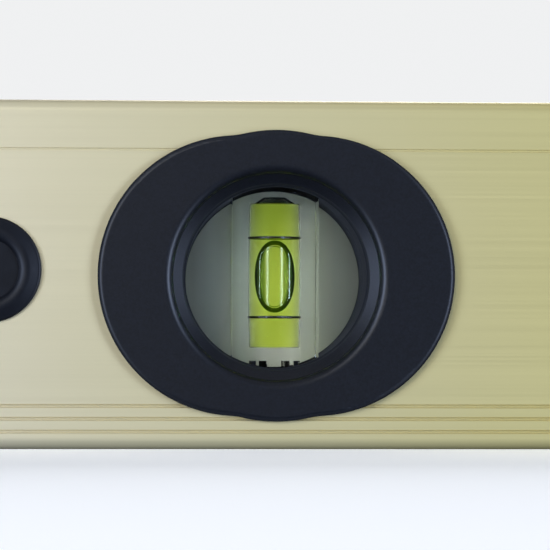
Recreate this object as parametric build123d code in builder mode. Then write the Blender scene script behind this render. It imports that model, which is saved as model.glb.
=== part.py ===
"""Box-beam spirit level, 400 mm long, with two plumb vials and one level vial.

The level stands on its measuring base. +X runs along the beam, -Y is the front face, +Z is up, and the
origin is the middle of the base. All sizes are in millimetres.

The beam is a box extrusion with three grip grooves low on each side and a fine scribed line near the top.
Near each end an obround black bezel frames a round window with an upright block vial in it, and a round
rubber grip plug fills a hole between that bezel and the end cap. The level vial lies in a housing let into
the top edge, and is read from the front and from above.
"""

import os

from build123d import *

os.makedirs("parts", exist_ok=True)

# Beam
overall_length = 400.0
beam_height = 60.0
beam_thickness = 25.0
side_wall = 1.8
edge_wall = 2.6
outer_corner_radius = 2.0
inner_corner_radius = 1.0
groove_heights = (3.05, 5.25, 7.42)
groove_radius = 0.32
groove_depth = 0.75
groove_lip_radius = 0.35
scribe_from_top = 8.6
scribe_radius = 0.22

# End caps
cap_thickness = 6.0
cap_inset = 0.25
cap_edge_radius = 1.8
cap_tongue_length = 9.0
cap_tongue_wall = 1.8
cap_rib_width = 1.2
cap_rib_height = 0.25
cap_rib_spacing = 14.0
cap_rib_rows = 3

# Vial, the same in all three places. Shares are of the block's length.
block_width = 15.0
block_share_of_height = 2 / 3
bore_middle_radius = 4.6
bore_end_radius = 4.4
chamber_down_share = 0.304
chamber_up_share = 0.3265
drill_shoulder_radius = 3.7
drill_tip_radius = 1.9
drill_tip_height = 1.14
ring_centre = 0.12
ring_spacing_share = 0.348
ring_width = 0.4
ring_seat_depth = 0.1
ring_stand = 0.2
bubble_half_width = 3.54
bubble_half_share = 0.158
bubble_wall_gap = 0.35
bubble_depth = 3.7
bubble_edge_round = 1.2
bubble_drift = 0.15
filler_bore_room = 0.1
filler_head_share = 0.0575
filler_gap_share = 0.03
filler_tail_share = 0.09
filler_centre_rib = 2.7
filler_side_rib = 0.7
filler_side_rib_place = 2.95

# Plumb vial bezels
plumb_below_middle = 0.4
flange_overlap = 3.8
wing_overlap = 2.84
flange_rise = 0.2
bezel_end_offset = 6.6
bezel_blend_radius = 12.0
bezel_proud = 1.5
bezel_edge_radius = 0.9
spigot_wall = 1.4
spigot_depth = 3.0
stop_width = 10.0
stop_thickness = 1.0
window_inside_spigot = 5.5
funnel_rim_width = 2.1
funnel_rim_round = 1.4
funnel_step_depth = 1.6
funnel_step_draft = 0.08
funnel_depth = 2.9
funnel_foot_width = 0.45
funnel_foot_depth = 1.0
collar_wall = 1.6
rear_ledge = 0.5
pin_radius = 2.0
boss_radius = 3.1
boss_gap = 2.0
pin_reach = 9.0

# Diffuser lenses behind the vials
lens_thickness = 1.4

# Grip plugs
plug_gap = 9.56
plug_cap_gap = 0.8
plug_above_middle = 0.7
plug_radius = 9.1
plug_hole_radius = 7.5
plug_edge_height = 0.7
plug_crest_height = 1.25
plug_crest_radius = 6.8
plug_dish_radius = 5.2
plug_dish_height = 0.35
plug_inner_slope = (0.45, 1)
plug_outer_slope = (1, -0.3)
plug_edge_round = 0.5
plug_barb_radius = 7.9
plug_barb_length = 1.4
plug_hollow_radius = 5.4

# Level vial housing
level_depth = 12.5
notch_end_room = 13.0
notch_floor_room = 14.5
notch_corner_radius = 9.0
cover_overlap = 3.2
cover_top_inset = 1.0
housing_top_inset = 0.3
level_window_end_wall = 6.0
level_window_height = 14.6
level_window_round = 2.0
housing_wall = 1.8
top_window_end_wall = 2.0
top_window_width = 12.4
top_lens_width = 15.0
top_lens_thickness = 1.4
end_pocket_drop = 7.0

# Clearances
fit = 0.1
loose_fit = 0.2
pin_fit = 0.05
bubble_fit = 0.12
bubble_end_fit = 0.3
fluid_fit = 0.02
same_place = 1e-6

beam_length = overall_length - 2 * cap_thickness
face = beam_thickness / 2
scribe_height = beam_height - scribe_from_top
block_half = block_width / 2
block_length = block_share_of_height * beam_height
chamber_down = chamber_down_share * block_length
chamber_up = chamber_up_share * block_length
ring_spacing = ring_spacing_share * block_length
ring_places = (ring_centre - ring_spacing / 2, ring_centre + ring_spacing / 2)
ring_outer_radius = bore_middle_radius + ring_seat_depth
ring_inner_radius = bore_middle_radius - ring_stand
filler_bore_radius = bore_middle_radius + filler_bore_room
bubble_half_length = bubble_half_share * block_length
bubble_reach = bore_middle_radius - bubble_wall_gap
bubble_back = bubble_reach - bubble_depth
bubble_travel_down = chamber_down - bubble_half_length - bubble_end_fit
bubble_travel_up = chamber_up - bubble_half_length - bubble_end_fit
filler_head_height = filler_head_share * block_length
filler_gap_height = filler_gap_share * block_length
filler_tail_height = filler_tail_share * block_length
vial_pocket = block_half + fit
lens_front = block_half + loose_fit
lens_back = lens_front + lens_thickness

bezel_face = face + bezel_proud
spigot_radius = block_length / 2 + loose_fit + stop_thickness
bezel_hub_radius = spigot_radius + flange_overlap
bezel_end_radius = spigot_radius + wing_overlap
window_radius = spigot_radius - window_inside_spigot
funnel_rim_radius = window_radius + funnel_rim_width
pin_distance = window_radius + collar_wall + boss_gap + boss_radius
plug_from_end = cap_thickness + cap_tongue_length + plug_cap_gap + plug_barb_radius
plug_distance = overall_length / 2 - plug_from_end
plumb_distance = plug_distance - plug_radius - plug_gap - bezel_end_radius - bezel_end_offset
plumb_height = beam_height / 2 - plumb_below_middle
plug_height = beam_height / 2 + plug_above_middle

level_height = beam_height - level_depth
notch_half_width = block_length / 2 + notch_end_room
notch_depth = level_depth + notch_floor_room
level_window_straight = block_length - 2 * level_window_end_wall
top_lens_length = block_length
top_window_length = block_length - 2 * top_window_end_wall
end_pocket_floor = level_height - end_pocket_drop
boss_place = (block_length / 2 + notch_half_width) / 2


def front_plane(x, z):
    """The beam's middle plane at that place, facing forwards: local z points to -Y, local y up."""
    return Plane(origin=(x, 0, z), x_dir=(1, 0, 0), z_dir=(0, -1, 0))


def rear_plane(x, z):
    """The beam's middle plane at that place, facing backwards: local z points to +Y, local y up."""
    return Plane(origin=(x, 0, z), x_dir=(-1, 0, 0), z_dir=(0, 1, 0))


def section_plane(plane):
    """The plane that holds a revolved profile: local x is the radius, local y runs along plane's normal."""
    return Plane(origin=plane.origin, x_dir=plane.x_dir, z_dir=-plane.y_dir)


def normal_axis(plane):
    """The axis through a plane's origin, along its normal."""
    return Axis(plane.origin, plane.z_dir)


def save(part, name):
    """Labels a finished piece and writes it as its own file."""
    part.label = name
    export_step(part, f"parts/{name}.step")


def make_beam():
    """The extruded box beam, with its grooves, vial cut-outs, plug holes and top notch."""
    with BuildPart() as beam:
        with BuildSketch(Plane.YZ.offset(-beam_length / 2)) as profile:
            with Locations((0, beam_height / 2)):
                RectangleRounded(beam_thickness, beam_height, outer_corner_radius)
            for side in (-1, 1):
                for height in groove_heights:
                    with Locations((side * face, height)):
                        SlotOverall(2 * groove_depth, 2 * groove_radius, mode=Mode.SUBTRACT)
                with Locations((side * face, scribe_height)):
                    Circle(scribe_radius, mode=Mode.SUBTRACT)
            low, high = min(groove_heights) - groove_radius, max(groove_heights) + groove_radius
            lips = profile.vertices().filter_by(
                lambda v: abs(abs(v.Y) - face) < same_place and low - fit < v.Z < high + fit
            )
            fillet(lips, groove_lip_radius)
            with Locations((0, beam_height / 2)):
                RectangleRounded(
                    beam_thickness - 2 * side_wall,
                    beam_height - 2 * edge_wall,
                    inner_corner_radius,
                    mode=Mode.SUBTRACT,
                )
        extrude(amount=beam_length)
        for side in (-1, 1):
            with BuildSketch(front_plane(side * plumb_distance, plumb_height)):
                SlotCenterToCenter(2 * bezel_end_offset, 2 * (spigot_radius + fit))
            extrude(amount=beam_thickness, both=True, mode=Mode.SUBTRACT)
            with BuildSketch(front_plane(side * plug_distance, plug_height)):
                Circle(plug_hole_radius)
            extrude(amount=beam_thickness, both=True, mode=Mode.SUBTRACT)
        with BuildSketch(front_plane(0, beam_height)):
            RectangleRounded(2 * notch_half_width, 2 * notch_depth, notch_corner_radius)
        extrude(amount=beam_thickness, both=True, mode=Mode.SUBTRACT)
    return beam.part


def make_end_cap(side):
    """A moulded cap for one end: an edge-rounded block with a hollow, ribbed tongue that presses into the beam."""
    outward = Plane(
        origin=(side * beam_length / 2, 0, beam_height / 2), x_dir=(0, side, 0), z_dir=(side, 0, 0)
    )
    tongue_width = beam_thickness - 2 * side_wall - 2 * (fit + cap_rib_height)
    tongue_height = beam_height - 2 * edge_wall - 2 * fit
    with BuildPart() as cap:
        with BuildSketch(outward):
            RectangleRounded(
                beam_thickness - 2 * cap_inset, beam_height - 2 * cap_inset, outer_corner_radius
            )
        extrude(amount=cap_thickness)
        outer_face = cap.faces().sort_by(normal_axis(outward))[-1]
        fillet(outer_face.edges(), cap_edge_radius)
        with BuildSketch(outward):
            RectangleRounded(tongue_width, tongue_height, inner_corner_radius)
            with GridLocations(tongue_width, cap_rib_spacing, 2, cap_rib_rows):
                Rectangle(2 * cap_rib_height, cap_rib_width)
            RectangleRounded(
                tongue_width - 2 * cap_tongue_wall,
                tongue_height - 2 * cap_tongue_wall,
                inner_corner_radius,
                mode=Mode.SUBTRACT,
            )
        extrude(amount=-cap_tongue_length)
    return cap.part


def round_sketch(plane, places, radius):
    """Equal circles at the given places of a plane."""
    with BuildSketch(plane) as circles:
        with Locations(*places):
            Circle(radius)
    return circles.sketch


def make_bezel(plane, male):
    """Half of a plumb vial's surround: flange, spigot, funnel and the collar that grips the vial block."""
    inner_radius = window_radius if male else window_radius - rear_ledge
    places = [(-pin_distance, 0), (pin_distance, 0)]
    with BuildPart() as bezel:
        with BuildSketch(plane.offset(face)) as outline:
            with Locations((0, flange_rise)):
                SlotCenterToCenter(2 * bezel_end_offset, 2 * bezel_end_radius)
                Circle(bezel_hub_radius)
            corners = outline.vertices().filter_by(
                lambda v: bezel_end_offset + fit < abs(plane.to_local_coords(v).X) < bezel_hub_radius
            )
            fillet(corners, bezel_blend_radius)
        extrude(amount=bezel_proud)
        flange_face = bezel.faces().sort_by(normal_axis(plane))[-1]
        fillet(flange_face.edges(), bezel_edge_radius)

        with BuildSketch(plane.offset(face)):
            SlotCenterToCenter(2 * bezel_end_offset, 2 * spigot_radius)
            SlotCenterToCenter(
                2 * bezel_end_offset, 2 * (spigot_radius - spigot_wall), mode=Mode.SUBTRACT
            )
        extrude(amount=-spigot_depth)

        with BuildSketch(plane.offset(fit)):
            with GridLocations(0, block_length + 2 * loose_fit + stop_thickness, 1, 2):
                Rectangle(stop_width, stop_thickness)
        extrude(amount=face - fit)

        extrude(round_sketch(plane.offset(fit), places, boss_radius), amount=face - fit)
        if male:
            extrude(round_sketch(plane, places, pin_radius), amount=pin_reach, both=True)
        else:
            hole = round_sketch(plane, places, pin_radius + pin_fit)
            extrude(hole, amount=pin_reach + fit, mode=Mode.SUBTRACT)

        with BuildSketch(section_plane(plane)):
            with BuildLine():
                Polyline(
                    (inner_radius, fit),
                    (window_radius + collar_wall, fit),
                    (window_radius + collar_wall, bezel_face - funnel_depth - funnel_foot_depth),
                    (funnel_rim_radius + collar_wall, face),
                    (inner_radius, face),
                    close=True,
                )
            make_face()
        revolve(axis=normal_axis(plane))

        with BuildSketch(section_plane(plane)):
            with BuildLine():
                Polyline(
                    (funnel_rim_radius, bezel_face - funnel_rim_round),
                    (funnel_rim_radius - funnel_step_draft, bezel_face - funnel_step_depth),
                    (inner_radius + funnel_foot_width, bezel_face - funnel_depth),
                    (inner_radius, bezel_face - funnel_depth - funnel_foot_depth),
                    (inner_radius, 0),
                    (0, 0),
                    (0, bezel_face),
                    (funnel_rim_radius + funnel_rim_round, bezel_face),
                )
                RadiusArc(
                    (funnel_rim_radius + funnel_rim_round, bezel_face),
                    (funnel_rim_radius, bezel_face - funnel_rim_round),
                    -funnel_rim_round,
                )
            make_face()
        revolve(axis=normal_axis(plane), mode=Mode.SUBTRACT)

        if not male:
            with BuildSketch(plane):
                Circle(window_radius)
            extrude(amount=lens_back + fit, mode=Mode.SUBTRACT)

        with BuildSketch(plane):
            Rectangle(2 * vial_pocket, block_length + 2 * loose_fit)
        extrude(amount=vial_pocket, mode=Mode.SUBTRACT)
    return bezel.part


def make_lens(plane):
    """The round diffuser that closes a plumb window behind the vial block."""
    with BuildPart() as lens:
        with BuildSketch(plane.offset(lens_front)):
            Circle(window_radius - fit)
        extrude(amount=lens_thickness)
    return lens.part


def chamber_profile(plane, gap):
    """Half of the vial's chamber, gap inside its wall: barrel bore, shoulder and drill point."""
    with BuildSketch(section_plane(plane)) as profile:
        with BuildLine():
            Line((0, -chamber_down + gap), (bore_end_radius - gap, -chamber_down + gap))
            ThreePointArc(
                (bore_end_radius - gap, -chamber_down + gap),
                (bore_middle_radius - gap, 0),
                (bore_end_radius - gap, chamber_up - gap),
            )
            Polyline(
                (bore_end_radius - gap, chamber_up - gap),
                (drill_shoulder_radius - gap, chamber_up - gap),
                (drill_tip_radius - gap, chamber_up + drill_tip_height - gap),
                (0, chamber_up + drill_tip_height - gap),
                (0, -chamber_down + gap),
            )
        make_face()
    return profile.sketch


def make_block(plane):
    """The clear acrylic block: barrel-shaped chamber, ring grooves and filler bore. plane's normal is the axis."""
    filler_bore_length = block_length / 2 - chamber_down
    with BuildPart() as block:
        with BuildSketch(plane.offset(-block_length / 2)):
            Rectangle(block_width, block_width)
        extrude(amount=block_length)
        revolve(chamber_profile(plane, 0), axis=normal_axis(plane), mode=Mode.SUBTRACT)
        for place in ring_places:
            with BuildSketch(plane.offset(place - ring_width / 2 - fluid_fit)):
                Circle(ring_outer_radius + fluid_fit)
            extrude(amount=ring_width + 2 * fluid_fit, mode=Mode.SUBTRACT)
        with BuildSketch(plane.offset(-block_length / 2)):
            Circle(filler_bore_radius)
        extrude(amount=filler_bore_length, mode=Mode.SUBTRACT)
    return block.part


def make_fluid(plane):
    """The coloured spirit, with a channel along its upper side that the bubble slides in."""
    with BuildPart() as fluid:
        revolve(chamber_profile(plane, fluid_fit), axis=normal_axis(plane))
        for place in ring_places:
            with BuildSketch(plane.offset(place - ring_width / 2 - fluid_fit)):
                Circle(bore_middle_radius + fit)
                Circle(ring_inner_radius - fluid_fit, mode=Mode.SUBTRACT)
            extrude(amount=ring_width + 2 * fluid_fit, mode=Mode.SUBTRACT)
        channel_half_width = bubble_half_width + bubble_fit
        channel_back = bubble_back - bubble_fit
        with BuildSketch(plane.offset(-chamber_down)):
            with Locations((0, -channel_back - bore_middle_radius / 2)):
                Rectangle(2 * channel_half_width, bore_middle_radius)
        extrude(amount=chamber_down + chamber_up + drill_tip_height, mode=Mode.SUBTRACT)
    return fluid.part


def make_bubble(plane, place):
    """The gas bubble: oval from the front, pressed flat against the upper side of the bore, and soft-edged."""
    with BuildPart() as bubble:
        with BuildSketch(plane.offset(place - bubble_half_length)):
            Circle(bubble_reach)
            with Locations((0, bore_middle_radius - bubble_back)):
                Rectangle(4 * bore_middle_radius, 2 * bore_middle_radius, mode=Mode.SUBTRACT)
        extrude(amount=2 * bubble_half_length)
        with BuildSketch(section_plane(plane)):
            with Locations((0, place)):
                Ellipse(bubble_half_width, bubble_half_length)
        extrude(amount=2 * bore_middle_radius, both=True, mode=Mode.INTERSECT)
        fillet(bubble.edges(), bubble_edge_round)
    return bubble.part


def make_ring(plane, place):
    """One of the two black reading rings, let into the wall of the bore."""
    with BuildPart() as ring:
        with BuildSketch(plane.offset(place - ring_width / 2)):
            Circle(ring_outer_radius)
            Circle(ring_inner_radius, mode=Mode.SUBTRACT)
        extrude(amount=ring_width)
    return ring.part


def make_filler_plug(plane):
    """The plug that seals the chamber: a head, a waist of three ribs with gaps between, and a tail."""
    radius = filler_bore_radius - pin_fit
    length = filler_head_height + filler_gap_height + filler_tail_height
    with BuildPart() as plug:
        with BuildSketch(plane.offset(-chamber_down - length)):
            Circle(radius)
        extrude(amount=length)
        with BuildSketch(plane.offset(-chamber_down - filler_head_height - filler_gap_height)):
            Circle(2 * radius)
            Rectangle(filler_centre_rib, 4 * radius, mode=Mode.SUBTRACT)
            with Locations((-filler_side_rib_place, 0), (filler_side_rib_place, 0)):
                Rectangle(filler_side_rib, 4 * radius, mode=Mode.SUBTRACT)
        extrude(amount=filler_gap_height, mode=Mode.SUBTRACT)
    return plug.part


def make_grip_plug(plane):
    """A round rubber plug pressed into one side wall, with a raised ring round a dished middle."""
    with BuildPart() as plug:
        with BuildSketch(section_plane(plane)):
            with BuildLine():
                edge_top = (plug_radius - plug_edge_round, face + plug_edge_height)
                edge_side = (plug_radius, face + plug_edge_height - plug_edge_round)
                crest = (plug_crest_radius, face + plug_crest_height)
                dish_edge = (plug_dish_radius, face + plug_dish_height)
                shank = plug_hole_radius - fit
                barb_front = face - side_wall - fit
                barb_back = barb_front - plug_barb_length
                Line((0, face + plug_dish_height), dish_edge)
                Spline(dish_edge, crest, edge_top, tangents=(plug_inner_slope, plug_outer_slope))
                RadiusArc(edge_top, edge_side, plug_edge_round)
                Polyline(
                    edge_side,
                    (plug_radius, face),
                    (shank, face),
                    (shank, barb_front),
                    (plug_barb_radius, barb_front),
                    (shank - fit, barb_back),
                    (plug_hollow_radius, barb_back),
                    (plug_hollow_radius, face - plug_dish_height),
                    (0, face - plug_dish_height),
                    (0, face + plug_dish_height),
                )
            make_face()
        revolve(axis=normal_axis(plane))
    return plug.part


def make_level_cover(plane, male):
    """Half of the level vial's housing: it fills the notch in the beam and laps over its edge outside."""
    places = [(-boss_place, level_height), (boss_place, level_height)]
    ledge = 0 if male else rear_ledge
    housing_top = beam_height - housing_top_inset
    cover_top = beam_height - cover_top_inset
    body_half_width = notch_half_width - fit
    pocket_depth = bezel_face - housing_wall
    inner_top = level_height + vial_pocket
    with BuildPart() as cover:
        with BuildSketch(plane.offset(fit)):
            with Locations((0, beam_height)):
                RectangleRounded(
                    2 * body_half_width, 2 * (notch_depth - fit), notch_corner_radius - fit
                )
            with Locations((0, housing_top + notch_depth)):
                Rectangle(4 * notch_half_width, 2 * notch_depth, mode=Mode.SUBTRACT)
        extrude(amount=face - fit)
        with BuildSketch(plane.offset(face)):
            with Locations((0, beam_height)):
                RectangleRounded(
                    2 * (notch_half_width + cover_overlap),
                    2 * (notch_depth + cover_overlap),
                    notch_corner_radius + cover_overlap,
                )
            with Locations((0, cover_top + notch_depth)):
                Rectangle(4 * notch_half_width, 2 * notch_depth, mode=Mode.SUBTRACT)
        extrude(amount=bezel_proud)
        flange_face = cover.faces().sort_by(normal_axis(plane))[-1]
        fillet(flange_face.edges(), bezel_edge_radius)

        end_pocket_top = inner_top + fit
        end_pocket_height = end_pocket_top - end_pocket_floor
        end_pocket_inner = block_length / 2 + fit + housing_wall
        end_pocket_width = body_half_width - housing_wall - end_pocket_inner
        with BuildSketch(plane):
            for side in (-1, 1):
                centre = side * (end_pocket_inner + end_pocket_width / 2)
                with Locations((centre, end_pocket_floor + end_pocket_height / 2)):
                    Rectangle(end_pocket_width, end_pocket_height)
        extrude(amount=pocket_depth, mode=Mode.SUBTRACT)
        bosses = round_sketch(plane.offset(fit), places, boss_radius)
        extrude(bosses, amount=pocket_depth)
        if male:
            extrude(round_sketch(plane, places, pin_radius), amount=pin_reach, both=True)
        else:
            hole = round_sketch(plane, places, pin_radius + pin_fit)
            extrude(hole, amount=pin_reach + fit, mode=Mode.SUBTRACT)

        with BuildSketch(plane):
            with Locations((0, level_height)):
                Rectangle(block_length + 2 * fit, 2 * vial_pocket)
        extrude(amount=vial_pocket, mode=Mode.SUBTRACT)
        with BuildSketch(plane):
            with Locations((0, level_height)):
                SlotCenterToCenter(level_window_straight, level_window_height)
        extrude(amount=lens_back + fit, mode=Mode.SUBTRACT)
        with BuildSketch(plane):
            with Locations((0, level_height)):
                SlotCenterToCenter(level_window_straight, level_window_height - 2 * ledge)
        extrude(amount=bezel_face, mode=Mode.SUBTRACT)
        rim = cover.faces().sort_by(normal_axis(plane))[-1].inner_wires()[0]
        chamfer(rim.edges(), level_window_round)

        with BuildSketch(plane):
            with Locations((0, (level_height + housing_top) / 2)):
                Rectangle(top_window_length, housing_top - level_height)
        extrude(amount=top_window_width / 2, mode=Mode.SUBTRACT)
        with BuildSketch(plane):
            with Locations((0, housing_top)):
                Rectangle(top_lens_length + 2 * fit, 2 * (top_lens_thickness + fit))
        extrude(amount=top_lens_width / 2 + fit, mode=Mode.SUBTRACT)
    return cover.part


def make_top_lens():
    """The clear window over the level vial, set in a rebate in the housing's top."""
    housing_top = beam_height - housing_top_inset
    with BuildPart() as lens:
        with BuildSketch(Plane.XY.offset(housing_top - top_lens_thickness)):
            RectangleRounded(top_lens_length, top_lens_width, top_lens_thickness)
        extrude(amount=top_lens_thickness)
    return lens.part


def make_level_diffuser(plane):
    """The obround diffuser behind the level vial."""
    with BuildPart() as lens:
        with BuildSketch(plane.offset(lens_front)):
            with Locations((0, level_height)):
                SlotCenterToCenter(level_window_straight, level_window_height - 2 * fit)
        extrude(amount=lens_thickness)
    return lens.part


def save_vial(name, plane, ring_names, bubble_place):
    """Makes and writes the six kinds of piece in one vial. plane's normal is the vial's axis."""
    save(make_block(plane), f"{name}_vial_block")
    save(make_fluid(plane), f"{name}_vial_fluid")
    save(make_bubble(plane, bubble_place), f"{name}_bubble")
    for ring_name, place in zip(ring_names, ring_places):
        save(make_ring(plane, place), f"{name}_{ring_name}_ring")
    save(make_filler_plug(plane), f"{name}_filler_plug")


save(make_beam(), "beam")
for side_name, side in (("left", -1), ("right", 1)):
    save(make_end_cap(side), f"{side_name}_end_cap")
    save(make_grip_plug(front_plane(side * plug_distance, plug_height)), f"{side_name}_front_grip_plug")
    save(make_grip_plug(rear_plane(side * plug_distance, plug_height)), f"{side_name}_rear_grip_plug")
    save(make_bezel(front_plane(side * plumb_distance, plumb_height), True), f"{side_name}_front_bezel")
    save(make_bezel(rear_plane(side * plumb_distance, plumb_height), False), f"{side_name}_rear_bezel")
    save(make_lens(rear_plane(side * plumb_distance, plumb_height)), f"{side_name}_diffuser")
    upright = Plane(origin=(side * plumb_distance, 0, plumb_height), x_dir=(1, 0, 0), z_dir=(0, 0, 1))
    save_vial(side_name, upright, ("lower", "upper"), ring_centre + bubble_drift)

save(make_level_cover(front_plane(0, 0), True), "centre_front_cover")
save(make_level_cover(rear_plane(0, 0), False), "centre_rear_cover")
save(make_top_lens(), "centre_top_lens")
save(make_level_diffuser(rear_plane(0, 0)), "centre_diffuser")
lying = Plane(origin=(0, 0, level_height), x_dir=(0, -1, 0), z_dir=(1, 0, 0))
save_vial("centre", lying, ("left", "right"), ring_centre)

for name, place in (("plumb", ring_centre + bubble_drift), ("level", ring_centre)):
    down, up = bubble_travel_down + place, bubble_travel_up - place
    print(f"{name} bubble travel: {down:.2f} mm down or left, {up:.2f} mm up or right")
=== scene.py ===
# %% [markdown]
# # Box-beam spirit level
# The rigid pieces come from the CAD frame and keep their shape. This script gives every one of them its
# finish, and builds the see-through heart of each vial again, because glass, liquid and gas only look real
# when each surface stands for one change of material. The frame is loaded first.

# %% Load the frame
import math

import bmesh
import bpy
from mathutils import Matrix, Vector


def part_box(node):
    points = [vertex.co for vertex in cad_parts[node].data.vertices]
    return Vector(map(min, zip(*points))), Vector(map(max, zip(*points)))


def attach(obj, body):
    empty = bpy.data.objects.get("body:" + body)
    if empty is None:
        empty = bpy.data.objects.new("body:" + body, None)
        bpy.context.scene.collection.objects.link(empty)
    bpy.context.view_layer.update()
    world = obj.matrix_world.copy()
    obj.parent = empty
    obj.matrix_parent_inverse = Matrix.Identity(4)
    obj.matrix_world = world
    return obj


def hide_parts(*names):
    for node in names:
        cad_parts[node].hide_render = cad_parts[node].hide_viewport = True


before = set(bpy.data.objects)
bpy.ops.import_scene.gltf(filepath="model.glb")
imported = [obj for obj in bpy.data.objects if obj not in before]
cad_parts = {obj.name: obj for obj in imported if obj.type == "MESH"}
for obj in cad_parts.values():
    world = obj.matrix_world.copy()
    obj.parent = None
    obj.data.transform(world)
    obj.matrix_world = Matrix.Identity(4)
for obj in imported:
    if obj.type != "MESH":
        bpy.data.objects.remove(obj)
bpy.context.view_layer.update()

MM = 0.001

# %% [markdown]
# A finish is easier to compare with a real swatch when its colour is written the way a paint chart writes
# it, as a hex value. Shaders add light, so they need the linear value behind it. One function does that
# step for every colour here, and another adds a node with its settings and its links, which keeps each
# finish short enough to read. Two more make the steps of a colour and darken one by a pattern.

# %% Colour and node helpers


def linear(hex_colour):
    """Turn a chart colour such as B9B48C into the linear value a shader needs, by the sRGB curve."""
    channels = [int(hex_colour[i : i + 2], 16) / 255 for i in (0, 2, 4)]
    straight = [c / 12.92 if c <= 0.04045 else ((c + 0.055) / 1.055) ** 2.4 for c in channels]
    return (*straight, 1.0)


def add(tree, kind, inputs=None, **settings):
    """Add one node. inputs maps a socket to a value or to the output that feeds it."""
    new = tree.nodes.new(kind)
    for name, value in settings.items():
        setattr(new, name, value)
    for socket, value in (inputs or {}).items():
        if isinstance(value, bpy.types.NodeSocket):
            tree.links.new(value, new.inputs[socket])
        else:
            new.inputs[socket].default_value = value
    return new


def finish(name):
    """Start an empty finish and return it with its node tree."""
    material = bpy.data.materials.new(name)
    material.use_nodes = True
    material.node_tree.nodes.clear()
    return material, material.node_tree


def colour_steps(tree, value, stops):
    """A colour ramp over value, from (position, colour) stops in rising order."""
    ramp = add(tree, "ShaderNodeValToRGB", {"Fac": value})
    elements = ramp.color_ramp.elements
    while len(elements) < len(stops):
        elements.new(0.5)
    for element, (position, hex_colour) in zip(elements, stops):
        element.position = position
        element.color = linear(hex_colour)
    return ramp.outputs["Color"]


def multiplied(tree, colour, by):
    """The colour made darker wherever the value by is under one."""
    return add(
        tree,
        "ShaderNodeMix",
        {"Factor": 1.0, "A": colour, "B": by},
        data_type="RGBA",
        blend_type="MULTIPLY",
    ).outputs["Result"]


print("pale gold is", [round(c, 3) for c in linear("D1C179")])

# %% [markdown]
# The beam is an aluminium extrusion, etched satin and anodised pale gold. The die leaves hair lines along
# its length, and the etch leaves a soft cloudiness, so the sheen runs in faint long streaks. The lines on
# the real beam are about 0.05 mm apart and would vanish at this distance, so they are drawn at 0.35 mm.
# A noise stretched along X gives them; it feeds the roughness and a very shallow bump. The gold is
# painted deepest near the middle and paler towards the ends: painted light for the way the lamps fall
# along the beam.

# %% Anodised aluminium

STREAKS_PER_METRE, LINES_PER_METRE = 8.0, 2800.0
GOLD_UNTIL, PAINTED_PALE_FROM, CLOUD_SHIFT = 0.075, 0.185, 0.012


def pale_gold_anodised_aluminium():
    material, tree = finish("pale_gold_anodised_aluminium")
    place = add(tree, "ShaderNodeTexCoord").outputs["Object"]
    stretch = (STREAKS_PER_METRE, LINES_PER_METRE, LINES_PER_METRE)
    long_way = add(tree, "ShaderNodeMapping", {"Vector": place, "Scale": stretch}).outputs["Vector"]
    lines = add(
        tree, "ShaderNodeTexNoise", {"Vector": long_way, "Scale": 1.0, "Detail": 3.0, "Roughness": 0.6}
    ).outputs["Fac"]
    cloud = add(
        tree, "ShaderNodeTexNoise", {"Vector": place, "Scale": 60.0, "Detail": 3.0, "Roughness": 0.5}
    ).outputs["Fac"]
    along = add(tree, "ShaderNodeSeparateXYZ", {"Vector": place}).outputs["X"]
    from_middle = add(tree, "ShaderNodeMath", {0: along}, operation="ABSOLUTE").outputs["Value"]
    drift = add(
        tree, "ShaderNodeMath", {0: cloud, 1: CLOUD_SHIFT, 2: from_middle}, operation="MULTIPLY_ADD"
    ).outputs["Value"]
    # painted light: the gold is painted paler towards the ends of the beam, with a cloud in its edge
    painted_pale_ends = add(
        tree, "ShaderNodeMapRange", {"Value": drift, "From Min": GOLD_UNTIL, "From Max": PAINTED_PALE_FROM}
    ).outputs["Result"]
    gold = add(
        tree,
        "ShaderNodeMix",
        {"Factor": painted_pale_ends, "A": linear("D1C179"), "B": linear("DBCDA5")},
        data_type="RGBA",
    ).outputs["Result"]
    streak = add(
        tree, "ShaderNodeMapRange", {"Value": lines, "From Min": 0.3, "From Max": 0.7, "To Min": 0.97}
    ).outputs["Result"]
    tone = multiplied(tree, gold, streak)
    rough = add(
        tree,
        "ShaderNodeMapRange",
        {"Value": lines, "From Min": 0.25, "From Max": 0.75, "To Min": 0.42, "To Max": 0.50},
    ).outputs["Result"]
    grain = add(tree, "ShaderNodeBump", {"Height": lines, "Strength": 0.12, "Distance": 0.00002})
    metal = add(
        tree,
        "ShaderNodeBsdfPrincipled",
        {"Base Color": tone, "Metallic": 0.5, "Roughness": rough, "Normal": grain.outputs["Normal"]},
    )
    add(tree, "ShaderNodeOutputMaterial", {"Surface": metal.outputs["BSDF"]})
    return material


beam_finish = pale_gold_anodised_aluminium()
print("made", beam_finish.name)

# %% [markdown]
# The bezels, covers and end caps are black ABS from a spark-eroded mould, which leaves a fine, even sand
# grain that kills the gloss. Real grain of this grade is 0.1 to 0.2 mm across; it is drawn at about
# 0.3 mm so that it still reads as a soft speckle. The black leans slightly to blue. The deep tube round each
# end vial comes off a core that was left as turned, so it is duller and keeps dark beside the pale disc. The
# rounded outer edge of a bezel is where the two mould halves meet, and it is dull too.

# %% Grained black plastic


def corners_of(node_name):
    """The low and the high corner of a CAD node's box."""
    low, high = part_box(node_name)
    return Vector(low), Vector(high)


def middle_of(node_name):
    low, high = corners_of(node_name)
    return (low + high) / 2


WINDOW = middle_of("right_vial_block")
FACE = -corners_of("right_front_bezel")[0].y
TUBE_REACH, FUNNEL_REACH = 15.8 * MM, 16.3 * MM
EDGE_REACH_FROM, EDGE_REACH_TO = 20.0 * MM, 34.0 * MM
EDGE_STARTS, EDGE_FULL = FACE - 0.05 * MM, FACE - 0.25 * MM
TUBE_ROUGH, FACE_ROUGH, EDGE_ADDS = 1.0, 0.42, 0.62


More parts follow.
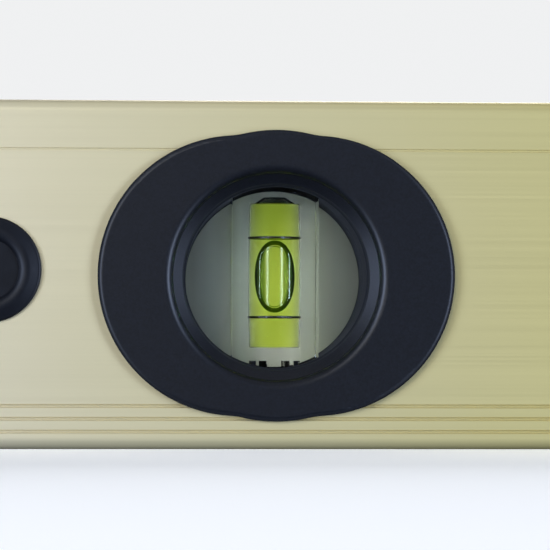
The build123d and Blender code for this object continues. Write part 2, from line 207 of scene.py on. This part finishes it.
def grained_black_plastic():
    material, tree = finish("grained_black_abs")
    place = add(tree, "ShaderNodeTexCoord").outputs["Object"]
    sand = add(
        tree, "ShaderNodeTexNoise", {"Vector": place, "Scale": 2600.0, "Detail": 2.0, "Roughness": 0.6}
    ).outputs["Fac"]
    tone = colour_steps(tree, sand, ((0.3, "0B0C0F"), (0.72, "13151A")))
    grain = add(tree, "ShaderNodeBump", {"Height": sand, "Strength": 0.4, "Distance": 0.00002})
    parts = add(tree, "ShaderNodeSeparateXYZ", {"Vector": place}).outputs
    off_middle = add(tree, "ShaderNodeMath", {0: parts["X"]}, operation="ABSOLUTE").outputs["Value"]
    across = add(tree, "ShaderNodeMath", {0: off_middle, 1: WINDOW.x}, operation="SUBTRACT")
    up = add(tree, "ShaderNodeMath", {0: parts["Z"], 1: WINDOW.z}, operation="SUBTRACT")
    flat = add(
        tree, "ShaderNodeCombineXYZ", {"X": across.outputs["Value"], "Y": up.outputs["Value"]}
    ).outputs["Vector"]
    reach = add(tree, "ShaderNodeVectorMath", {0: flat}, operation="LENGTH").outputs["Value"]
    tube = add(
        tree,
        "ShaderNodeMapRange",
        {
            "Value": reach,
            "From Min": TUBE_REACH,
            "From Max": FUNNEL_REACH,
            "To Min": TUBE_ROUGH,
            "To Max": FACE_ROUGH,
        },
    ).outputs["Result"]
    outside = add(
        tree, "ShaderNodeMath", {0: reach, 1: EDGE_REACH_FROM}, operation="GREATER_THAN"
    ).outputs["Value"]
    near_by = add(
        tree, "ShaderNodeMath", {0: reach, 1: EDGE_REACH_TO}, operation="LESS_THAN"
    ).outputs["Value"]
    depth = add(tree, "ShaderNodeMath", {0: parts["Y"]}, operation="ABSOLUTE").outputs["Value"]
    behind = add(
        tree,
        "ShaderNodeMapRange",
        {"Value": depth, "From Min": EDGE_STARTS, "From Max": EDGE_FULL, "To Max": EDGE_ADDS},
    ).outputs["Result"]
    ring = add(tree, "ShaderNodeMath", {0: outside, 1: near_by}, operation="MULTIPLY").outputs["Value"]
    edge = add(tree, "ShaderNodeMath", {0: ring, 1: behind}, operation="MULTIPLY").outputs["Value"]
    dull = add(tree, "ShaderNodeMath", {0: tube, 1: edge}, operation="ADD").outputs["Value"]
    plastic = add(
        tree,
        "ShaderNodeBsdfPrincipled",
        {
            "Base Color": tone,
            "Roughness": dull,
            "Specular IOR Level": 0.35,
            "IOR": 1.5,
            "Normal": grain.outputs["Normal"],
        },
    )
    add(tree, "ShaderNodeOutputMaterial", {"Surface": plastic.outputs["BSDF"]})
    return material


black_plastic = grained_black_plastic()
print("made", black_plastic.name)

# %% [markdown]
# The round grip plugs are moulded rubber: a little darker than the plastic, with a bloom that breaks up
# the sheen in patches a few millimetres wide.

# %% Moulded rubber


def moulded_black_rubber():
    material, tree = finish("moulded_black_rubber")
    place = add(tree, "ShaderNodeTexCoord").outputs["Object"]
    bloom = add(
        tree, "ShaderNodeTexNoise", {"Vector": place, "Scale": 350.0, "Detail": 5.0, "Roughness": 0.65}
    ).outputs["Fac"]
    tone = colour_steps(tree, bloom, ((0.0, "07080B"), (1.0, "121419")))
    rough = add(
        tree, "ShaderNodeMapRange", {"Value": bloom, "To Min": 0.42, "To Max": 0.55}
    ).outputs["Result"]
    skin = add(tree, "ShaderNodeBump", {"Height": bloom, "Strength": 0.2, "Distance": 0.00005})
    rubber = add(
        tree,
        "ShaderNodeBsdfPrincipled",
        {
            "Base Color": tone,
            "Roughness": rough,
            "Specular IOR Level": 0.2,
            "IOR": 1.52,
            "Normal": skin.outputs["Normal"],
        },
    )
    add(tree, "ShaderNodeOutputMaterial", {"Surface": rubber.outputs["BSDF"]})
    return material


rubber = moulded_black_rubber()
print("made", rubber.name)

# %% [markdown]
# The disc behind each vial is milky polystyrene. It is moulded thin, so it is never quite even: a faint
# cloud of denser and clearer plastic shows when light falls across it. Its tone also holds painted light
# and shade: it is painted paler along the line that the vial lies on, where light comes through the block,
# which makes the liquid stand out, and darker towards the deep tube's wall, where its shade falls. On the
# end discs the palest painted line lies slightly towards the middle of the level.

# %% Milky plastic

# painted light and shade: the disc is painted palest along the vial's line and darkest at the reach from it
PAINTED_LIGHT_INWARD, DISC_REACH, STRIP_REACH = 0.8 * MM, 15.0 * MM, 8.0 * MM
MILK_BY_PAINTED_LIGHT = (
    (0.0, "555543"),
    (0.13, "63634F"),
    (0.31, "7C7C63"),
    (0.46, "979779"),
    (0.55, "ACAC8C"),
    (0.70, "B8B898"),
    (0.83, "D6D5B8"),
)


def milky_polystyrene(name, axis, line, reach):
    """Painted light and shade: paler where the coordinate along axis is near to line, darkest at reach from
    it.
    """
    material, tree = finish(name)
    place = add(tree, "ShaderNodeTexCoord").outputs["Object"]
    along = add(tree, "ShaderNodeSeparateXYZ", {"Vector": place}).outputs[axis]
    off_middle = add(tree, "ShaderNodeMath", {0: along}, operation="ABSOLUTE").outputs["Value"]
    off_line = add(tree, "ShaderNodeMath", {0: off_middle, 1: line}, operation="SUBTRACT").outputs["Value"]
    distance = add(tree, "ShaderNodeMath", {0: off_line}, operation="ABSOLUTE").outputs["Value"]
    # painted light near the vial's line, painted shade towards the tube's wall
    painted_light = add(
        tree, "ShaderNodeMapRange", {"Value": distance, "From Min": reach, "From Max": 0.0}
    ).outputs["Result"]
    milk = colour_steps(tree, painted_light, MILK_BY_PAINTED_LIGHT)
    cloud = add(
        tree, "ShaderNodeTexNoise", {"Vector": place, "Scale": 160.0, "Detail": 3.0, "Roughness": 0.5}
    ).outputs["Fac"]
    dense = add(
        tree, "ShaderNodeMapRange", {"Value": cloud, "From Min": 0.3, "From Max": 0.7, "To Min": 0.93}
    ).outputs["Result"]
    clouded = multiplied(tree, milk, dense)
    body = add(tree, "ShaderNodeBsdfPrincipled", {"Base Color": clouded, "Roughness": 0.5, "IOR": 1.58})
    add(tree, "ShaderNodeOutputMaterial", {"Surface": body.outputs["BSDF"]})
    return material


end_milk = milky_polystyrene("milky_disc", "X", WINDOW.x - PAINTED_LIGHT_INWARD, DISC_REACH)
level_milk = milky_polystyrene("milky_strip", "Z", middle_of("centre_vial_block").z, STRIP_REACH)
print("made", end_milk.name, "and", level_milk.name)

# %% [markdown]
# Clear things need care. Acrylic bends light by 1.49 against air, but the liquid touches the acrylic with
# no air between, so the wall of the bore bends light only by the ratio of the two, 1.45 / 1.49. The bubble
# is gas in liquid, 1 / 1.45. Each wall is therefore one surface with its own ratio. A lamp's light is let
# straight through, as thin clear plastic does well enough, or everything inside would stay black. Where the
# bubble's skin turns away, a painted reflection of the deep liquid beside it tints it green by its slant.
# The filler plug is bonded in with acrylic, and its skin bends light only by the trace that the bond leaves.

# %% Clear materials

ACRYLIC, SPIRIT, GAS, BOND_LINE = 1.49, 1.45, 1.0, 1.004
# painted reflection: the green bands stand for the deep liquid mirrored where the skin slants away
PAINTED_REFLECTION_BY_SLANT = (
    (0.06, "FFFFFF"),
    (0.08, "BCCEAD"),
    (0.12, "BCCEAD"),
    (0.16, "FFFFFF"),
    (0.26, "FFFFFF"),
    (0.34, "5C8A50"),
)


def clear_body(name, bend, tint="FFFFFF"):
    """A clear solid whose surface bends light by the ratio bend, and lets lamps shine through."""
    material, tree = finish(name)
    glass = add(tree, "ShaderNodeBsdfGlass", {"Color": linear(tint), "Roughness": 0.0, "IOR": bend})
    straight = add(tree, "ShaderNodeBsdfTransparent", {"Color": linear(tint)})
    from_lamp = add(tree, "ShaderNodeLightPath").outputs["Is Shadow Ray"]
    mix = add(
        tree,
        "ShaderNodeMixShader",
        {0: from_lamp, 1: glass.outputs["BSDF"], 2: straight.outputs["BSDF"]},
    )
    add(tree, "ShaderNodeOutputMaterial", {"Surface": mix.outputs["Shader"]})
    return material


def node_of(material, kind):
    """The one node of this kind in a finish, to link something more to it."""
    return next(node for node in material.node_tree.nodes if node.bl_idname == kind)


def bubble_wall():
    material = clear_body("gas_bubble_wall", GAS / SPIRIT)
    tree = material.node_tree
    slant = add(tree, "ShaderNodeLayerWeight", {"Blend": 0.5}).outputs["Facing"]
    # painted reflection of the deep liquid, by the slant of the skin
    painted_reflection = colour_steps(tree, slant, PAINTED_REFLECTION_BY_SLANT)
    tree.links.new(painted_reflection, node_of(material, "ShaderNodeBsdfGlass").inputs["Color"])
    return material


clear_acrylic = clear_body("clear_cast_acrylic", ACRYLIC, "FCFDFD")
bonded_acrylic = clear_body("bonded_acrylic_plug", BOND_LINE)
trapped_air = clear_body("air_in_the_plug", GAS / ACRYLIC)
bubble_skin = bubble_wall()
print("made", clear_acrylic.name, "and", bubble_skin.name)

# %% [markdown]
# The spirit holds a fluorescent dye. The dye takes the blue out of the light and gives it back as lime,
# so the liquid looks brighter than the disc behind it. An absorbing volume takes the blue out. A fixed glow
# in the volume stands for the lime given back; it is painted light, since it shines whatever the lamps do.
# The liquid darkens by itself where the bore is thin. The glow is too weak to tint what stands round it, so
# light that bounces off other surfaces doesn't pick it up. The point that the drill leaves at the end of
# the bore turns most light away. There the spirit gets a darker, denser dye, painted shade that makes it
# look deep green.

# %% Fluorescent spirit


def lime_dye(name, painted_glow_strength, dye_hex, density):
    material = clear_body(name, SPIRIT / ACRYLIC)
    tree = material.node_tree
    dye = add(tree, "ShaderNodeVolumeAbsorption", {"Color": linear(dye_hex), "Density": density})
    # painted light: a fixed lime glow, standing for the dye's fluorescence whatever the lamps do
    painted_glow = add(tree, "ShaderNodeEmission", {"Color": linear("C6EC00"), "Strength": painted_glow_strength})
    both = add(tree, "ShaderNodeAddShader", {0: dye.outputs["Volume"], 1: painted_glow.outputs["Emission"]})
    path = add(tree, "ShaderNodeLightPath")
    indirect = add(
        tree,
        "ShaderNodeMath",
        {0: path.outputs["Diffuse Depth"], 1: path.outputs["Is Shadow Ray"]},
        operation="MAXIMUM",
    )
    seen = add(
        tree, "ShaderNodeMixShader", {0: indirect.outputs["Value"], 1: both.outputs["Shader"]}
    ).outputs["Shader"]
    tree.links.new(seen, node_of(material, "ShaderNodeOutputMaterial").inputs["Volume"])
    return material


lime_spirit = lime_dye("fluorescent_lime_spirit", painted_glow_strength=17.0, dye_hex="F4FA38", density=215.0)
# painted shade: the spirit in the drill point gets a darker, denser dye for the light the point turns away
painted_shade_spirit = lime_dye("spirit_in_the_drill_point", painted_glow_strength=0.0, dye_hex="30602A", density=400.0)
print("made", lime_spirit.name, "and", painted_shade_spirit.name)

# %% [markdown]
# The reading rings are thin black wire rings set in the bore. They are glossy, so each shows a small
# bright glint from each side light.

# %% Black ring finish


def glossy_black_wire():
    material, tree = finish("glossy_black_ring")
    place = add(tree, "ShaderNodeTexCoord").outputs["Object"]
    wear = add(tree, "ShaderNodeTexNoise", {"Vector": place, "Scale": 1500.0}).outputs["Fac"]
    rough = add(tree, "ShaderNodeMapRange", {"Value": wear, "To Min": 0.18, "To Max": 0.34})
    black = add(
        tree,
        "ShaderNodeBsdfPrincipled",
        {"Base Color": linear("08090A"), "Roughness": rough.outputs["Result"], "IOR": 1.5},
    )
    add(tree, "ShaderNodeOutputMaterial", {"Surface": black.outputs["BSDF"]})
    return material


ring_black = glossy_black_wire()
print("made", ring_black.name)

# %% [markdown]
# The carried-over solids get their finishes by name. A CAD mesh is never changed: only the material in
# its slot is.

# %% Dress the CAD nodes


def dress(node_name, material):
    mesh = bpy.data.objects[node_name].data
    mesh.materials.clear()
    mesh.materials.append(material)


finish_by_word = (
    ("grip_plug", rubber),
    ("bezel", black_plastic),
    ("end_cap", black_plastic),
    ("cover", black_plastic),
    ("centre_diffuser", level_milk),
    ("diffuser", end_milk),
    ("top_lens", clear_acrylic),
    ("filler_plug", bonded_acrylic),
    ("beam", beam_finish),
)
for node_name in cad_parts:
    for word, material in finish_by_word:
        if word in node_name:
            dress(node_name, material)
            break

# %% [markdown]
# A vial's pieces are all round or square about one line, so they are built about the Z axis and then laid
# in place: upright near the ends of the level, and along it in the middle. The placing is read from the
# CAD block's box, so the pieces follow the frame.

# %% Vial places


def vial_place(name):
    low, high = corners_of(f"{name}_vial_block")
    lying = name == "centre"
    along = Vector((1, 0, 0)) if lying else Vector((0, 0, 1))
    across = Vector((0, -1, 0)) if lying else Vector((1, 0, 0))
    turn = Matrix((across, along.cross(across), along)).transposed().to_4x4()
    return Matrix.Translation((low + high) / 2) @ turn, max(high - low)


vials = {name: vial_place(name) for name in ("left", "right", "centre")}
for name, (place, length) in vials.items():
    print(name, "vial at", [round(v, 4) for v in place.translation], "length", round(length, 4))


def in_vial(place, node_name):
    """The corners of a CAD node's box, measured along the vial's own axes."""
    one, other = (place.inverted() @ corner for corner in corners_of(node_name))
    pairs = list(zip(one, other))
    return Vector([min(pair) for pair in pairs]), Vector([max(pair) for pair in pairs])


def set_down(name, shape, place, material, sharp=35):
    """Turn a bmesh into a finished piece, in place, with smooth sides and crisp edges."""
    shape.transform(place)
    bmesh.ops.recalc_face_normals(shape, faces=shape.faces)
    mesh = bpy.data.meshes.new(name)
    shape.to_mesh(mesh)
    shape.free()
    mesh.polygons.foreach_set("use_smooth", [True] * len(mesh.polygons))
    mesh.set_sharp_from_angle(angle=math.radians(sharp))
    mesh.materials.append(material)
    piece = bpy.data.objects.new(name, mesh)
    bpy.context.scene.collection.objects.link(piece)
    return piece


# %% [markdown]
# The liquid is a turned shape. A lathe that takes a half outline and spins it about Z gives a closed skin
# with even faces, which clear materials need, because every facet would show as a kink. The bore is fattest
# in the middle, on a large arc, and its ends are eased. The drill leaves a short blunt point past one end.

# %% Turned shapes

ON_AXIS = 1e-9
BORE_MIDDLE, BORE_END = 4.6 * MM, 4.4 * MM
CHAMBER_DOWN, CHAMBER_UP = 0.304, 0.3265
END_INSET, END_EASE = 0.12 * MM, 0.1 * MM
DRILL_SHOULDER, DRILL_TIP, DRILL_HEIGHT, DRILL_GAP = 3.7 * MM, 1.9 * MM, 1.14 * MM, 0.01 * MM


def turned(outline, steps=96):
    """Spin a half outline of (radius, height) about Z. It starts and ends on the axis."""
    shape = bmesh.new()
    rows = []
    for radius, height in outline:
        if radius < ON_AXIS:
            rows.append([shape.verts.new((0, 0, height))])
            continue
        turn = [2 * math.pi * i / steps for i in range(steps)]
        rows.append([shape.verts.new((radius * math.cos(a), radius * math.sin(a), height)) for a in turn])
    for lower, upper in zip(rows, rows[1:]):
        for i in range(steps):
            j = (i + 1) % steps
            ring = [
                lower[i % len(lower)],
                lower[j % len(lower)],
                upper[j % len(upper)],
                upper[i % len(upper)],
            ]
            corners = list(dict.fromkeys(ring))
            shape.faces.new(corners)
    return shape


def spirit_outline(length, rows=24):
    down, up = -CHAMBER_DOWN * length, CHAMBER_UP * length
    outline = [(0, down), (BORE_END - END_INSET, down)]
    for i in range(rows + 1):
        height = down + (up - down) * i / rows
        height = min(max(height, down + END_EASE), up - END_EASE)
        outline.append((BORE_MIDDLE - (BORE_MIDDLE - BORE_END) * (height / up) ** 2, height))
    outline += [(BORE_END - END_INSET, up), (0, up)]
    return outline


def drill_point_outline(length):
    foot = CHAMBER_UP * length + DRILL_GAP
    return [(0, foot), (DRILL_SHOULDER, foot), (DRILL_TIP, foot + DRILL_HEIGHT), (0, foot + DRILL_HEIGHT)]


for name, (place, length) in vials.items():
    spirit = set_down(f"{name}_spirit", turned(spirit_outline(length)), place, lime_spirit)
    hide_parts(f"{name}_vial_fluid")
    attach(spirit, "level")
    tip = turned(drill_point_outline(length))
    point = set_down(f"{name}_drill_point", tip, place, painted_shade_spirit, sharp=20)
    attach(point, "level")
    print(spirit.name, len(spirit.data.polygons), "faces")

# %% [markdown]
# The bubble lies against the front of the bore in an end vial, and against its top in the middle one. From
# there it is an oval. Its near sheet follows the bore's curve and bends tightly into the side wall, which
# draws the thin dark outline. Its far sheet is flat in the middle. The bend is wider at the two ends, and so
# is the outline there. The shoulders of the near sheet fall away a little, so that the bubble clears the
# rings when it slides past them.

# %% Bubbles

OVAL_POWER = 2.2
SHEET_CURVE = 4.32 * MM
SHOULDER_FROM, SHOULDER_FALL = 2.85 * MM, 0.55
MERGE_GAP = 1e-7


def oval_point(level, turn, wide, long):
    """A point of the oval that is level times as large as the outline."""
    across, along = math.cos(turn), math.sin(turn)
    return (
        level * wide * math.copysign(abs(across) ** (2 / OVAL_POWER), across),
        level * long * math.copysign(abs(along) ** (2 / OVAL_POWER), along),
    )


def bubble_shape(low, high, rounds=128, flat_rows=14, bend_rows=12):
    wide, long = high.x, (high.z - low.z) / 2
    middle = (low.z + high.z) / 2
    shape = bmesh.new()

    def sheet(near, side_bend, end_bend, side_drop, end_drop):
        """The rows of one sheet, from its middle point out to the side wall."""
        rows = []
        for k in range(flat_rows + bend_rows + 1):
            row = []
            for i in range(rounds):
                turn = 2 * math.pi * i / rounds
                endwise = math.sin(turn) ** 2
                bend = side_bend + (end_bend - side_bend) * endwise
                drop = side_drop + (end_drop - side_drop) * endwise
                level, fall = (1 - bend) * k / flat_rows, 0.0
                if k > flat_rows:
                    angle = math.pi / 2 * (k - flat_rows) / bend_rows
                    level = 1 - bend + bend * math.sin(angle)
                    fall = drop * (1 - math.cos(angle))
                x, z = oval_point(level, turn, wide, long)
                shoulder = max(0.0, abs(x) - SHOULDER_FROM) / MM
                bow = x**2 / (2 * SHEET_CURVE) + SHOULDER_FALL * shoulder**2 * MM
                y = low.y + bow + fall if near else high.y - fall
                row.append(shape.verts.new((x, y, middle + z)))
            rows.append(row)
        return rows

    near_rows = sheet(True, side_bend=0.05, end_bend=0.17, side_drop=0.5 * MM, end_drop=1.5 * MM)
    far_rows = sheet(False, side_bend=0.15, end_bend=0.3, side_drop=1.0 * MM, end_drop=1.6 * MM)
    skins = near_rows + far_rows[::-1]
    for inner, outer in zip(skins, skins[1:]):
        for i in range(rounds):
            j = (i + 1) % rounds
            shape.faces.new((inner[i], inner[j], outer[j], outer[i]))
    bmesh.ops.remove_doubles(shape, verts=shape.verts, dist=MERGE_GAP)
    return shape


for name, (place, _) in vials.items():
    low, high = in_vial(place, f"{name}_bubble")
    bubble = set_down(f"{name}_gas_bubble", bubble_shape(low, high), place, bubble_skin, sharp=80)
    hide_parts(f"{name}_bubble")
    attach(bubble, f"{name}_bubble")
    print(bubble.name, [round(v / MM, 1) for v in bubble.dimensions], "mm")

# %% [markdown]
# Two equal rings mark where the bubble should stand. They repeat, so a small node tree makes them: a
# rounded rectangle swept round a circle gives one ring, and a line of two points carries its copies. The
# sizes are inputs of the tree, so one tree serves all three vials.

# %% Reading rings

RING_DEPTH, RING_EDGE = 0.3 * MM, 0.07 * MM


def ring_tree():
    tree = bpy.data.node_groups.new("reading_rings", "GeometryNodeTree")
    face = tree.interface
    face.new_socket(name="Rings", in_out="OUTPUT", socket_type="NodeSocketGeometry")
    for label in ("Ring radius", "Ring depth", "Ring width", "Spacing"):
        face.new_socket(name=label, in_out="INPUT", socket_type="NodeSocketFloat")
    size = add(tree, "NodeGroupInput").outputs
    path = add(tree, "GeometryNodeCurvePrimitiveCircle", {"Resolution": 96, "Radius": size["Ring radius"]})
    section = add(
        tree,
        "GeometryNodeCurvePrimitiveQuadrilateral",
        {"Width": size["Ring depth"], "Height": size["Ring width"]},
    )
    eased = add(
        tree,
        "GeometryNodeFilletCurve",
        {"Curve": section.outputs["Curve"], "Radius": RING_EDGE, "Count": 3},
        mode="POLY",
    )
    ring = add(
        tree,
        "GeometryNodeCurveToMesh",
        {"Curve": path.outputs["Curve"], "Profile Curve": eased.outputs["Curve"]},
    )
    half_down = add(tree, "ShaderNodeMath", {0: size["Spacing"], 1: -0.5}, operation="MULTIPLY")
    start = add(tree, "ShaderNodeCombineXYZ", {"Z": half_down.outputs["Value"]})
    step = add(tree, "ShaderNodeCombineXYZ", {"Z": size["Spacing"]})
    line = add(
        tree,
        "GeometryNodeMeshLine",
        {"Count": 2, "Start Location": start.outputs["Vector"], "Offset": step.outputs["Vector"]},
    )
    copies = add(
        tree,
        "GeometryNodeInstanceOnPoints",
        {"Points": line.outputs["Mesh"], "Instance": ring.outputs["Mesh"]},
    )
    solid = add(tree, "GeometryNodeRealizeInstances", {"Geometry": copies.outputs["Instances"]})
    black = add(
        tree,
        "GeometryNodeSetMaterial",
        {"Geometry": solid.outputs["Geometry"], "Material": ring_black},
    )
    add(tree, "NodeGroupOutput", {"Rings": black.outputs["Geometry"]})
    return tree


def from_tree(name, tree, sizes):
    """Run a node tree once and keep its result as a plain mesh."""
    holder = bpy.data.objects.new(name + "_holder", bpy.data.meshes.new(name + "_empty"))
    bpy.context.scene.collection.objects.link(holder)
    modifier = holder.modifiers.new("tree", "NODES")
    modifier.node_group = tree
    sockets = {s.name: s.identifier for s in tree.interface.items_tree if s.in_out == "INPUT"}
    for label, value in sizes.items():
        modifier[sockets[label]] = value
    ready = holder.evaluated_get(bpy.context.evaluated_depsgraph_get())
    mesh = bpy.data.meshes.new_from_object(ready)
    holder.modifiers.remove(modifier)
    bpy.data.objects.remove(holder)
    return mesh


rings = ring_tree()
for name, (place, _) in vials.items():
    ends = ("left", "right") if name == "centre" else ("lower", "upper")
    (low, high), (next_low, next_high) = (in_vial(place, f"{name}_{end}_ring") for end in ends)
    mesh = from_tree(
        f"{name}_rings",
        rings,
        {
            "Ring radius": high.x - RING_DEPTH / 2,
            "Ring depth": RING_DEPTH,
            "Ring width": high.z - low.z,
            "Spacing": next_low.z - low.z,
        },
    )
    shape = bmesh.new()
    shape.from_mesh(mesh)
    bmesh.ops.remove_doubles(shape, verts=shape.verts, dist=MERGE_GAP)
    between = Matrix.Translation((0, 0, (low.z + next_high.z) / 2))
    pair = set_down(f"{name}_reading_rings", shape, place @ between, ring_black)
    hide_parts(f"{name}_{ends[0]}_ring", f"{name}_{ends[1]}_ring")
    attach(pair, "level")
    print(pair.name, "outer radius", round(high.x / MM, 2), "mm")

# %% [markdown]
# The block is cast acrylic with milled and polished faces and a small polished bevel on every edge. Only
# its outer faces are air to acrylic, so the piece is the bevelled outer skin alone. The bore's wall is the
# skin of the liquid, made above.

# %% Acrylic blocks

BLOCK_BEVEL = 0.04 * MM


def bevelled_block(width, length):
    shape = bmesh.new()
    bmesh.ops.create_cube(shape, size=1.0)
    bmesh.ops.scale(shape, vec=(width, width, length), verts=shape.verts)
    bmesh.ops.bevel(
        shape, geom=shape.edges[:], offset=BLOCK_BEVEL, segments=3, profile=0.5, affect="EDGES"
    )
    return shape


for name, (place, length) in vials.items():
    low, high = corners_of(f"{name}_vial_block")
    width = min(high - low)
    shape = bevelled_block(width, length)
    block = set_down(f"{name}_acrylic_block", shape, place, clear_acrylic, sharp=5)
    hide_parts(f"{name}_vial_block")
    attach(block, "level")
    print(block.name, round(width / MM, 1), "mm square")

# %% [markdown]
# The filler plug is bonded into the block with the same acrylic, so its skin all but vanishes. What the
# eye sees are the pockets of air between the ribs of its waist. Each pocket is a small closed shape whose
# skin is air in acrylic, and it mirrors the light round it.

# %% Air pockets in the plug's waist

WAIST_LOW, WAIST_HIGH, PLUG_RADIUS = -15.66 * MM, -14.46 * MM, 4.6 * MM
POCKET_SIDES = {
    "outer_left": (-4.45 * MM, -3.3 * MM),
    "inner_left": (-2.6 * MM, -1.35 * MM),
    "inner_right": (1.35 * MM, 2.6 * MM),
    "outer_right": (3.3 * MM, 4.45 * MM),
}


def waist_pocket(left, right, steps=12):
    """The air between two ribs: flat at the ribs, round where it meets the bore."""
    shape = bmesh.new()
    across = [left + (right - left) * i / steps for i in range(steps + 1)]
    near = [(x, -math.sqrt(PLUG_RADIUS**2 - x**2)) for x in across]
    far = [(x, -y) for x, y in reversed(near)]
    outline = near + far
    bottom = [shape.verts.new((x, y, WAIST_LOW)) for x, y in outline]
    top = [shape.verts.new((x, y, WAIST_HIGH)) for x, y in outline]
    shape.faces.new(list(reversed(bottom)))
    shape.faces.new(top)
    for i in range(len(outline)):
        j = (i + 1) % len(outline)
        shape.faces.new((bottom[i], bottom[j], top[j], top[i]))
    return shape


for name, (place, _) in vials.items():
    for side, (left, right) in POCKET_SIDES.items():
        shape = waist_pocket(left, right)
        pocket = set_down(f"{name}_plug_air_{side}", shape, place, trapped_air, sharp=20)
        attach(pocket, "level")
print("plug waist", round((WAIST_HIGH - WAIST_LOW) / MM, 1), "mm high")

# %% [markdown]
# The camera stands 0.4 m in front of the beam, a little to the left of the end vial and a little below it,
# looking slightly up and to the right. The distance follows from how much the deep tube behind the bezel
# shifts against its rim. All its places are measured from the middle of the left window's front.

# %% Camera

STAND_FROM_WINDOW, AIM_FROM_WINDOW = Vector((-16.0, -400.0, -11.2)) * MM, Vector((-0.34, 0, 0.26)) * MM
SENSOR_WIDTH, LENS, ROLL_DEGREES = 36.0, 153.4, 0.12
NEAREST_SEEN, FARTHEST_SEEN = 0.01, 100.0

window = vials["left"][0].translation
window_front = Vector((window.x, corners_of("left_front_bezel")[0].y, window.z))
stand = window_front + STAND_FROM_WINDOW
aim = window_front + AIM_FROM_WINDOW
camera = bpy.data.objects.new("camera", bpy.data.cameras.new("camera"))
camera.data.sensor_width = SENSOR_WIDTH
camera.data.lens = LENS
camera.data.clip_start = NEAREST_SEEN
camera.data.clip_end = FARTHEST_SEEN
camera.location = stand
roll = Matrix.Rotation(math.radians(ROLL_DEGREES), 4, "Z")
camera.matrix_world = (
    Matrix.Translation(stand) @ (aim - stand).to_track_quat("-Z", "Y").to_matrix().to_4x4() @ roll
)
bpy.context.scene.collection.objects.link(camera)
bpy.context.scene.camera = camera
print("camera at", [round(v, 3) for v in stand])

# %% [markdown]
# Two tall soft boxes stand left and right in front, as windows would, and draw the upright highlights on
# the bezel's rim and the rings. They reach almost as far below the vial as above it, so the floor is there
# for the eye alone and lets their light through. A smaller soft box, up to the left, lights the deep disc, a
# large one above keeps the top edge pale, and one behind shows the rear side, which the camera doesn't see.

# %% Lights

END_VIAL, LEVEL_MIDDLE, LEVEL_FOOT = (-0.127, 0, 0.03), (0, 0, 0.03), (0, 0, 0)


def soft_box(name, where, target, size, watts, colour):
    """A soft lamp that is size wide and high, in metres, and faces its target."""
    lamp = bpy.data.lights.new(name, "AREA")
    lamp.shape = "RECTANGLE"
    lamp.size, lamp.size_y = size
    lamp.energy = watts
    lamp.color = linear(colour)[:3]
    holder = bpy.data.objects.new(name, lamp)
    holder.location = where
    holder.rotation_euler = (Vector(target) - Vector(where)).to_track_quat("-Z", "Y").to_euler()
    bpy.context.scene.collection.objects.link(holder)


soft_box("left_window", (-1.13, -0.72, 0.06), END_VIAL, (0.4, 0.8), watts=19.0, colour="C8DAFF")
soft_box("right_window", (0.87, -0.72, 0.06), END_VIAL, (0.4, 0.8), watts=20.0, colour="C8DAFF")
soft_box("room", (-0.60, -0.80, 0.36), END_VIAL, (0.5, 0.5), watts=3.1, colour="FFFFFF")
soft_box("back_window", (0.25, 1.1, 0.7), LEVEL_MIDDLE, (0.9, 0.9), watts=14.0, colour="F4F7FF")
soft_box("ceiling", (0.0, -0.2, 1.4), LEVEL_FOOT, (1.4, 1.2), watts=2.5, colour="FFFFFF")
print(len(bpy.data.lights), "lamps")

# %% [markdown]
# The floor is pale paper, which the camera sees and the lamps shine through. A faint glow of its own keeps
# it evenly pale. The air is pale to the camera and nearly dark to the level, so that only the soft boxes
# draw highlights on it.

# %% Floor and air

PAPER_COLOUR, AIR_COLOUR = "F2F2F0", "F4F5F6"
FLOOR_REACH, FLOOR_GLOW = 8, 0.35
AIR_ON_LEVEL, AIR_ON_CAMERA = 0.03, 0.96

floor_mesh = bpy.data.meshes.new("floor")
floor_corners = [(x * FLOOR_REACH, y * FLOOR_REACH, 0) for x, y in ((-1, -1), (1, -1), (1, 1), (-1, 1))]
floor_mesh.from_pydata(floor_corners, [], [(0, 1, 2, 3)])
floor = bpy.data.objects.new("floor", floor_mesh)
bpy.context.scene.collection.objects.link(floor)
floor_paper, floor_tree = finish("pale_floor")
matt = add(floor_tree, "ShaderNodeBsdfDiffuse", {"Color": linear(PAPER_COLOUR)})
bright = add(floor_tree, "ShaderNodeEmission", {"Color": linear(PAPER_COLOUR), "Strength": FLOOR_GLOW})
paper = add(floor_tree, "ShaderNodeAddShader", {0: matt.outputs["BSDF"], 1: bright.outputs["Emission"]})
open_air = add(floor_tree, "ShaderNodeBsdfTransparent")
looked_at = add(floor_tree, "ShaderNodeLightPath").outputs["Is Camera Ray"]
ground = add(
    floor_tree,
    "ShaderNodeMixShader",
    {0: looked_at, 1: open_air.outputs["BSDF"], 2: paper.outputs["Shader"]},
)
add(floor_tree, "ShaderNodeOutputMaterial", {"Surface": ground.outputs["Shader"]})
floor_mesh.materials.append(floor_paper)

world = bpy.data.worlds.new("studio")
bpy.context.scene.world = world
world.use_nodes = True
air = world.node_tree
air.nodes.clear()
dim = add(air, "ShaderNodeBackground", {"Color": linear(AIR_COLOUR), "Strength": AIR_ON_LEVEL})
pale = add(air, "ShaderNodeBackground", {"Color": linear(AIR_COLOUR), "Strength": AIR_ON_CAMERA})
sight = add(air, "ShaderNodeLightPath").outputs["Is Camera Ray"]
backdrop = add(
    air, "ShaderNodeMixShader", {0: sight, 1: dim.outputs["Background"], 2: pale.outputs["Background"]}
)
add(air, "ShaderNodeOutputWorld", {"Surface": backdrop.outputs["Shader"]})
bpy.context.scene.view_settings.view_transform = "Standard"
print("floor and air ready")
